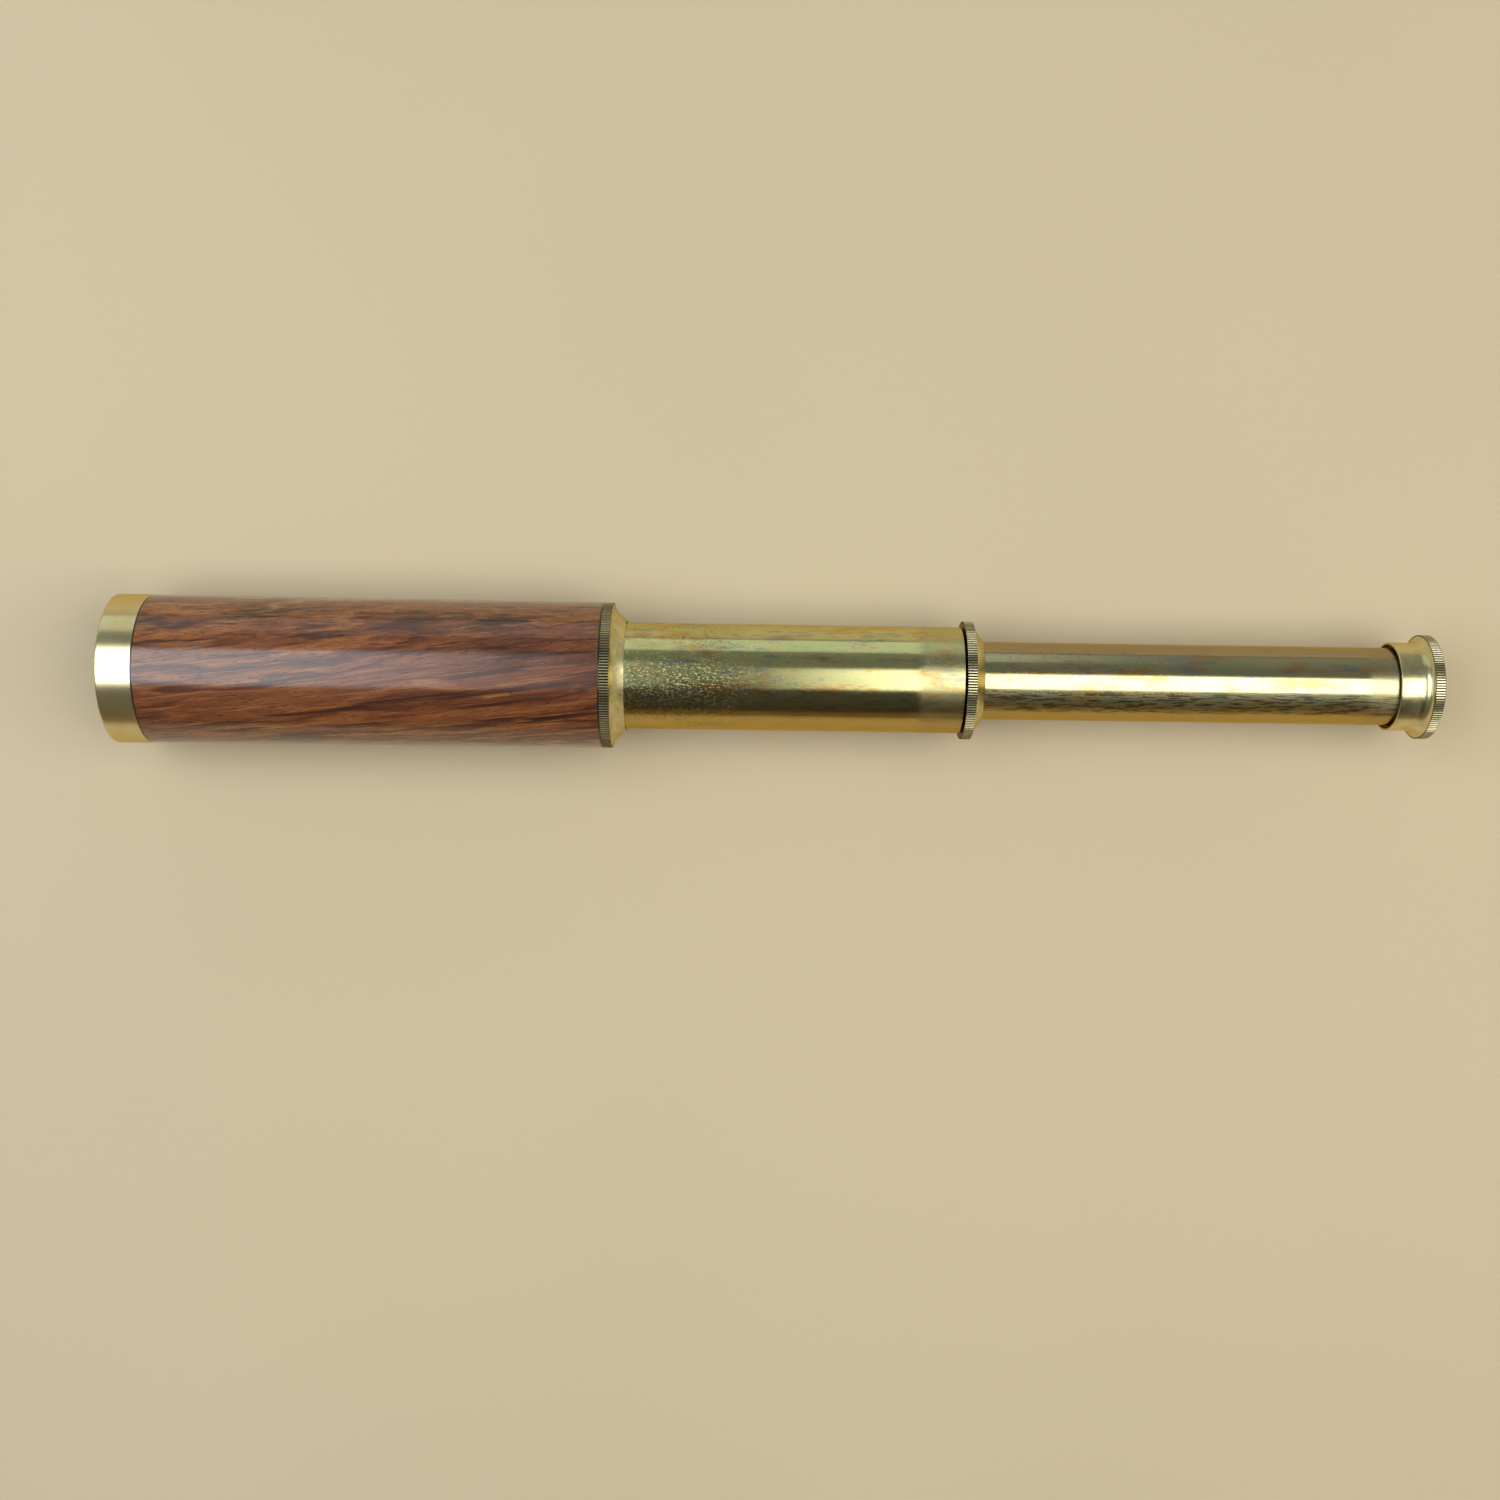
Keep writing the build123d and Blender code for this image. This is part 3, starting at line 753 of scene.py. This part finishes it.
draw_2_start, draw_2_end = ends("draw_2_tube")
draw_2_radius = outside("draw_2_tube")
piece(
    "draw_2_tube",
    "draw_2",
    draw_brass(
        "draw_2_brass",
        draw_2_radius,
        base=(0.60, 0.52, 0.31),
        speckle=0.35,
        speckle_end=draw_2_end - 60,
        streaks=0.95,
        dull_back=0.75,
        worn_start=draw_2_end - 14.0,
        shift=(57, 13, 29),
    ),
    tube(draw_2_start, draw_2_end, draw_2_radius, rear_rounding=0.1),
)

# ---------------------------------------------------------------- the eyecup

EYECUP_SLEEVE_START = 344.7
SLEEVE_RADIUS = 11.95
SLEEVE_BORE = 11.45
FLARE_START = 349.9
FLARE_CORNER = 352.4  # the hollow flare bends round this station
EYECUP_KNURL_START = 353.0
FLOOR_START = 350.9
BOSS_RADIUS = 9.4
LENS_BORE = 7.55
LENS_SHOULDER = 349.6
EYE_HOLE_RADIUS = 4.6
DISH_RADIUS = 12.7
DISH_DEPTH = 3.0
DISH_BEND = (352.8, 9.1)  # pulls the dish hollow
EYECUP_RIBS = 126

boss_start, eyecup_end = ends("eyecup")
eyecup_crest = outside("eyecup")
dish_rim = (eyecup_end, DISH_RADIUS)
dish_bottom = (eyecup_end - DISH_DEPTH, EYE_HOLE_RADIUS)
dish = bend(dish_rim, DISH_BEND, dish_bottom)[1:-1]
flare_end = (EYECUP_KNURL_START, eyecup_crest - RIB_DEPTH)
flare = bend((FLARE_START, SLEEVE_RADIUS), (FLARE_CORNER, SLEEVE_RADIUS), flare_end)[:-1]
eyecup_section = rounded(
    [
        (*flare_end, 0),
        (EYECUP_KNURL_START, eyecup_crest, 0.06),
        (eyecup_end, eyecup_crest, 0.3),
        (*dish_rim, 0.25),
        *[(station, radius, 0) for station, radius in dish],
        (*dish_bottom, 0.15),
        (LENS_SHOULDER, EYE_HOLE_RADIUS, 0),
        (LENS_SHOULDER, LENS_BORE, 0),
        (boss_start, LENS_BORE, 0.08),
        (boss_start, BOSS_RADIUS, 0.1),
        (FLOOR_START, BOSS_RADIUS, 0),
        (FLOOR_START, SLEEVE_BORE, 0),
        (EYECUP_SLEEVE_START, SLEEVE_BORE, 0.08),
        (EYECUP_SLEEVE_START, SLEEVE_RADIUS, 0.18),
    ]
)
piece(
    "eyecup",
    "eyecup",
    knurled_brass("eyecup_brass", eyecup_crest, grime=0.1),
    eyecup_section + flare,
    segments=EYECUP_RIBS * RIB_SAMPLES,
    reshape=knurl(EYECUP_KNURL_START, eyecup_end, eyecup_crest, EYECUP_RIBS),
)

# ---------------------------------------------------------------- the CAD nodes that stay

materials = {
    "polished_brass": brass,
    "tarnished_brass": draw_brass(
        "inner_tarnished_brass",
        outer_radius=0.0,
        base=(0.60, 0.50, 0.25),
        speckle=0.4,
        speckle_end=draw_1_start,
        streaks=0.0,
        dull_back=0.0,
        worn_start=draw_2_end,
        shift=(3, 1, 2),
    ),
    "blackened_brass": blackened_brass(),
    "optical_glass": optical_glass(),
}
for subpart in frame["record"]["subparts"]:
    node = frame["nodes"][subpart["node"]]
    if subpart["node"] in rebuilt:
        continue
    for material_slot in node.material_slots:
        material_slot.material = materials[subpart["material_slot"]]

# ---------------------------------------------------------------- floor and light

FLOOR_SIZE = 6.0
FLOOR_TONES = ((0.59, 0.485, 0.335), (0.61, 0.50, 0.345))
FIGURE_SLOPE = 0.03  # towards the photographer: X over the distance from the X axis
FIGURE_DARK = (0.03, 0.025, 0.02)
BACKDROP = (0.62, 0.58, 0.50)


def floor():
    shade = Shading("floor")
    tone = shade.noise(shade.place, scale=0.004, detail=2)
    colour = shade.mix(shade.span(tone, 0.3, 0.7), *FLOOR_TONES)
    material = shade.principled(Base_Color=colour, Roughness=0.9)
    mesh = bpy.data.meshes.new("floor")
    half = FLOOR_SIZE / 2
    corners = [(-half, -half, 0), (half, -half, 0), (half, half, 0), (-half, half, 0)]
    mesh.from_pydata(corners, [], [(0, 1, 2, 3)])
    mesh.materials.append(material)
    made = bpy.data.objects.new("floor", mesh)
    made.location = ((cad_low.x + cad_high.x) / 2, 0, cad_low.z)
    bpy.context.scene.collection.objects.link(made)


def softbox(name, place, aim, size, radiance, colour, fades):
    """An area light that fades towards its edges over a share of its size, one share for each
    side. The camera doesn't see it."""
    light = bpy.data.lights.new(name, "AREA")
    light.shape = "RECTANGLE"
    light.size, light.size_y = size
    light.energy = radiance * size[0] * size[1] * math.pi
    light.color = colour
    shade = Nodes(light)
    parametric = shade.node("ShaderNodeNewGeometry").outputs["Parametric"]
    across = shade.node("ShaderNodeSeparateXYZ")
    shade.feed(across.inputs[0], parametric)
    falloffs = []
    for place_across, fade in zip(across.outputs, fades):
        from_middle = shade.math("ABSOLUTE", shade.math("SUBTRACT", place_across, 0.5))
        falloffs.append(shade.span(from_middle, 0.5, 0.5 - fade))
    emission = shade.node("ShaderNodeEmission")
    shade.feed(emission.inputs["Strength"], shade.math("MULTIPLY", *falloffs))
    output = shade.node("ShaderNodeOutputLight")
    shade.feed(output.inputs["Surface"], emission.outputs[0])
    made = bpy.data.objects.new(name, light)
    made.location = place
    made.rotation_euler = (Vector(aim) - Vector(place)).to_track_quat("-Z", "Y").to_euler()
    made.visible_camera = False
    bpy.context.scene.collection.objects.link(made)


def world():
    """A dim room. Seen along Y it is brown low down on the near side, dark above that, and
    paler towards +Y. The near side is darkest in the middle, where the photographer stands.
    Straight through the lens there is only a plain backdrop."""
    shade = Nodes(bpy.data.worlds.new("room"))
    bpy.context.scene.world = shade.owner
    direction = shade.node("ShaderNodeSeparateXYZ")
    shade.feed(direction.inputs[0], shade.node("ShaderNodeTexCoord").outputs["Generated"])
    x, y, z = direction.outputs
    turn = shade.math("ARCTAN2", y, z)
    share = shade.math("MULTIPLY_ADD", turn, 2 / TURN, 0.5)
    room = shade.ramp(
        share,
        (0.00, (0.24, 0.16, 0.08)),
        (0.05, (0.22, 0.14, 0.07)),
        (0.08, (0.150, 0.135, 0.100)),
        (0.35, (0.160, 0.150, 0.120)),
        (0.50, (0.150, 0.150, 0.130)),
        (0.75, (0.190, 0.200, 0.180)),
        (1.00, (0.340, 0.350, 0.310)),
    )
    squared = shade.math("MULTIPLY_ADD", y, y, shade.math("MULTIPLY", z, z))
    slope = shade.math("DIVIDE", x, shade.math("SQRT", squared))
    from_figure = shade.math("ABSOLUTE", shade.math("SUBTRACT", slope, FIGURE_SLOPE))
    in_middle = shade.span(from_figure, 0.32, 0.14)
    near_side = shade.math("MULTIPLY", shade.span(share, 0.48, 0.40), shade.span(share, 0.05, 0.08))
    figure = shade.math("MULTIPLY", in_middle, near_side)
    room = shade.mix(shade.math("MULTIPLY", figure, 0.8), room, FIGURE_DARK)
    seen_directly = shade.node("ShaderNodeLightPath").outputs["Is Camera Ray"]
    room = shade.mix(seen_directly, room, BACKDROP)
    background = shade.node("ShaderNodeBackground")
    shade.feed(background.inputs["Color"], room)
    output = shade.node("ShaderNodeOutputWorld")
    shade.feed(output.inputs["Surface"], background.outputs[0])


floor()
softbox(
    "left_key",
    place=(-0.55, 0.08, 0.90),
    aim=(-0.55, 0.08, 0.0),
    size=(1.38, 1.12),
    radiance=3.3,
    colour=(0.88, 0.95, 1.0),
    fades=(0.29, 0.18),
)
softbox(
    "right_key",
    place=(0.80, -0.03, 0.90),
    aim=(0.80, -0.03, 0.0),
    size=(1.30, 0.88),
    radiance=3.3,
    colour=(1.0, 0.98, 0.88),
    fades=(0.20, 0.18),
)
softbox(
    "left_fill",
    place=(-1.30, 0.05, 0.45),
    aim=(0.35, 0.0, 0.02),
    size=(0.9, 0.6),
    radiance=1.6,
    colour=(0.95, 0.98, 1.0),
    fades=(0.2, 0.2),
)
softbox(
    "right_fill",
    place=(1.35, 0.02, 0.34),
    aim=(0.13, 0.0, 0.02),
    size=(0.7, 0.5),
    radiance=1.8,
    colour=(1.0, 0.98, 0.92),
    fades=(0.2, 0.2),
)
softbox(
    "back_strip",
    place=(-0.30, 1.0, 0.33),
    aim=(-0.30, 0.0, 0.33),
    size=(1.7, 0.62),
    radiance=0.45,
    colour=(0.92, 1.0, 0.92),
    fades=(0.15, 0.06),
)
world()
